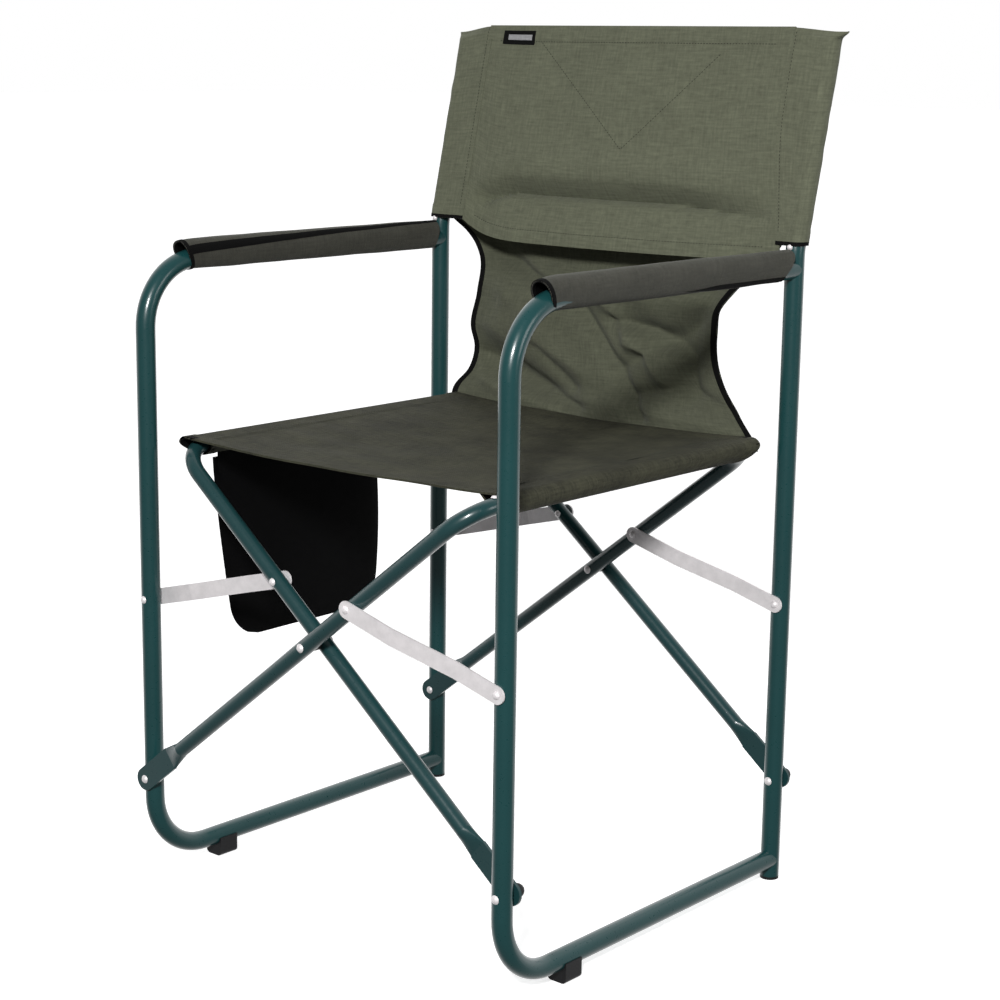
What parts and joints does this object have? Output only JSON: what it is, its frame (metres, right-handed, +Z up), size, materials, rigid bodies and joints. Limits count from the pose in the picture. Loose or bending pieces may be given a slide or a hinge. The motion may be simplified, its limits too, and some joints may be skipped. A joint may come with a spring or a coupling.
{
  "type": "director chair",
  "caption": "Folding director chair: painted steel tube side frames, crossed legs with flat links, fabric seat and back, padded arms and a side pocket.",
  "frame": {"origin": "on the floor under the middle of the open chair's bounding box", "axes": "+Z up, -Y the way the chair faces, +X the side on the right when it is seen from the front"},
  "size_m": [0.5128, 0.5299, 0.8957],
  "materials": {
    "paint": "dark green gloss",
    "leg_paint": "dark green gloss",
    "zinc": "zinc plated",
    "black_plastic": "matt black",
    "cloth": "olive woven polyester",
    "black_cloth": "black woven polyester",
    "foam": "plain foam"
  },
  "bodies": {
    "frame_left": {"side_tube_left": "paint", "back_post_left": "paint", "front_foot_left": "black_plastic", "rear_foot_left": "black_plastic", "arm_pad_left": "foam", "arm_sleeve_left": "cloth", "back_sleeve_left": "cloth", "post_cap_left": "black_plastic", "post_screw_left": "zinc", "pivot_rivets_left": "zinc", "link_rivets_left": "zinc", "back_panel": "cloth", "back_curtain": "cloth"},
    "legs_right": {"leg_frame_right": "leg_paint", "cross_rivets": "zinc", "cross_spacers": "black_plastic", "leg_rivets_right": "zinc", "seat_screws_right": "zinc", "seat_fabric": "cloth"},
    "legs_left": {"leg_frame_left": "leg_paint", "leg_rivets_left": "zinc", "seat_screws_left": "zinc"},
    "frame_right": {"side_tube_right": "paint", "back_post_right": "paint", "front_foot_right": "black_plastic", "rear_foot_right": "black_plastic", "arm_pad_right": "foam", "arm_sleeve_right": "cloth", "back_sleeve_right": "cloth", "post_cap_right": "black_plastic", "post_screw_right": "zinc", "pivot_rivets_right": "zinc", "link_rivets_right": "zinc", "pivot_caps_right": "black_plastic"},
    "link_front_left": {"link_front_left": "zinc", "link_pin_front_left": "zinc"},
    "link_front_right": {"link_front_right": "zinc", "link_pin_front_right": "zinc"},
    "link_rear_left": {"link_rear_left": "zinc", "link_pin_rear_left": "zinc"},
    "link_rear_right": {"link_rear_right": "zinc", "link_pin_rear_right": "zinc"},
    "pocket": {"side_pocket": "black_cloth"}
  },
  "joints": [
    {"name": "fold", "type": "hinge", "parent": "frame_left", "child": "legs_right", "pos_m": [-0.243, 0, 0.1104], "axis": [0, -1, 0], "range_deg": [0, 25], "deforming": ["seat_fabric", "back_panel", "back_curtain"]},
    {"name": "cross", "type": "hinge", "parent": "legs_right", "child": "legs_left", "pos_m": [0, 0, 0.30231], "axis": [0, -1, 0], "range_deg": [-50, 0]},
    {"name": "right_pivot", "type": "hinge", "parent": "legs_left", "child": "frame_right", "pos_m": [0.243, 0, 0.1104], "axis": [0, -1, 0], "range_deg": [0, 25]},
    {"name": "link_front_left_turn", "type": "hinge", "parent": "frame_left", "child": "link_front_left", "pos_m": [-0.243, -0.23985, 0.3047], "axis": [0, -1, 0], "range_deg": [0, 41.49]},
    {"name": "link_front_right_turn", "type": "hinge", "parent": "frame_right", "child": "link_front_right", "pos_m": [0.243, -0.23985, 0.3047], "axis": [0, -1, 0], "range_deg": [-41.49, 0]},
    {"name": "link_rear_left_turn", "type": "hinge", "parent": "frame_left", "child": "link_rear_left", "pos_m": [-0.243, 0.20215, 0.3047], "axis": [0, -1, 0], "range_deg": [0, 41.49]},
    {"name": "link_rear_right_turn", "type": "hinge", "parent": "frame_right", "child": "link_rear_right", "pos_m": [0.243, 0.20215, 0.3047], "axis": [0, -1, 0], "range_deg": [-41.49, 0]},
    {"name": "pocket_hang", "type": "hinge", "parent": "legs_left", "child": "pocket", "pos_m": [-0.20797, 0, 0.46655], "axis": [0, -1, 0], "range_deg": [0, 25]}
  ],
  "couplings": [
    {"joint": "cross", "follows": "fold", "ratio": -2},
    {"joint": "right_pivot", "follows": "fold", "ratio": 1},
    {"joint": "link_front_left_turn", "follows": "fold", "ratio": 1.6596},
    {"joint": "link_front_right_turn", "follows": "fold", "ratio": -1.6596},
    {"joint": "link_rear_left_turn", "follows": "fold", "ratio": 1.6596},
    {"joint": "link_rear_right_turn", "follows": "fold", "ratio": -1.6596},
    {"joint": "pocket_hang", "follows": "fold", "ratio": 1}
  ]
}
